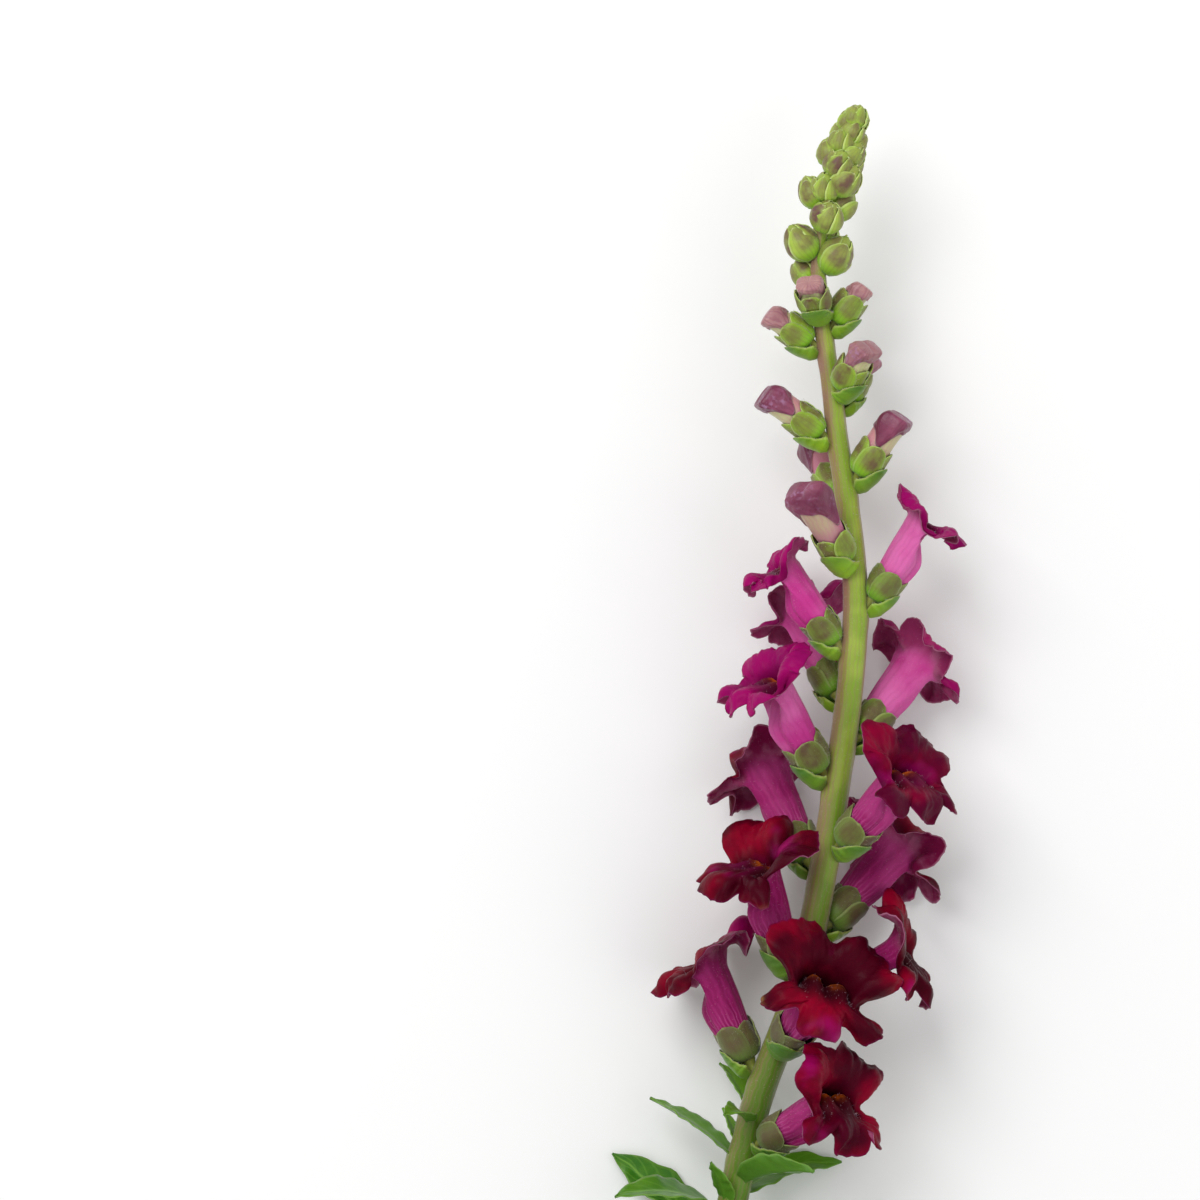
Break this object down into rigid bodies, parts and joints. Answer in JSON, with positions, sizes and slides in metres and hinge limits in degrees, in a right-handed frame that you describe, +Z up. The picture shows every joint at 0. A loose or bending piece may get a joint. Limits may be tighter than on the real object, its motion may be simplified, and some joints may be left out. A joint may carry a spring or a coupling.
{
  "type": "snapdragon stem",
  "caption": "Cut snapdragon stem lying flat: leafy stalk, spire of dark crimson two-lipped blooms, plum buds above them and a green crown of young buds at the tip.",
  "frame": {"origin": "centre of the bounding box, at the surface that the stem lies on", "axes": "+Z up from the surface, +Y along the stem towards the tip of the spire, +X to the right when it is seen from above with the tip ahead"},
  "size_m": [0.1018, 0.4518, 0.0535],
  "materials": {
    "green_growth": "fresh green plant tissue, satin",
    "calyx": "olive to brown-purple, finely hairy",
    "bloom_petals": "velvety dark crimson petal",
    "bud_petals": "satin plum petal, paler towards the calyx"
  },
  "bodies": {
    "root": {"leafy_stem": "green_growth", "bloom_01_calyx": "calyx", "bloom_01_corolla": "bloom_petals", "bloom_02_calyx": "calyx", "bloom_02_corolla": "bloom_petals", "bloom_03_calyx": "calyx", "bloom_03_corolla": "bloom_petals", "bloom_04_calyx": "calyx", "bloom_04_corolla": "bloom_petals", "bloom_05_calyx": "calyx", "bloom_05_corolla": "bloom_petals", "bloom_06_calyx": "calyx", "bloom_06_corolla": "bloom_petals", "bloom_07_calyx": "calyx", "bloom_07_corolla": "bloom_petals", "bloom_08_calyx": "calyx", "bloom_08_corolla": "bloom_petals", "bloom_09_calyx": "calyx", "bloom_09_corolla": "bloom_petals", "bloom_10_calyx": "calyx", "bloom_10_corolla": "bloom_petals", "bloom_11_calyx": "calyx", "bloom_11_corolla": "bloom_petals", "bloom_12_calyx": "calyx", "bloom_12_corolla": "bloom_petals", "bloom_13_calyx": "calyx", "bloom_13_corolla": "bloom_petals", "bud_01_calyx": "calyx", "bud_01_petals": "bud_petals", "bud_02_calyx": "calyx", "bud_02_petals": "bud_petals", "bud_03_calyx": "calyx", "bud_03_petals": "bud_petals", "bud_04_calyx": "calyx", "bud_04_petals": "bud_petals", "bud_05_calyx": "calyx", "bud_05_petals": "bud_petals", "bud_06_calyx": "calyx", "bud_06_petals": "bud_petals", "bud_07_calyx": "calyx", "bud_07_petals": "bud_petals", "bud_08_calyx": "calyx", "bud_08_petals": "bud_petals", "bud_09_calyx": "calyx", "bud_09_petals": "bud_petals"}
  },
  "joints": []
}
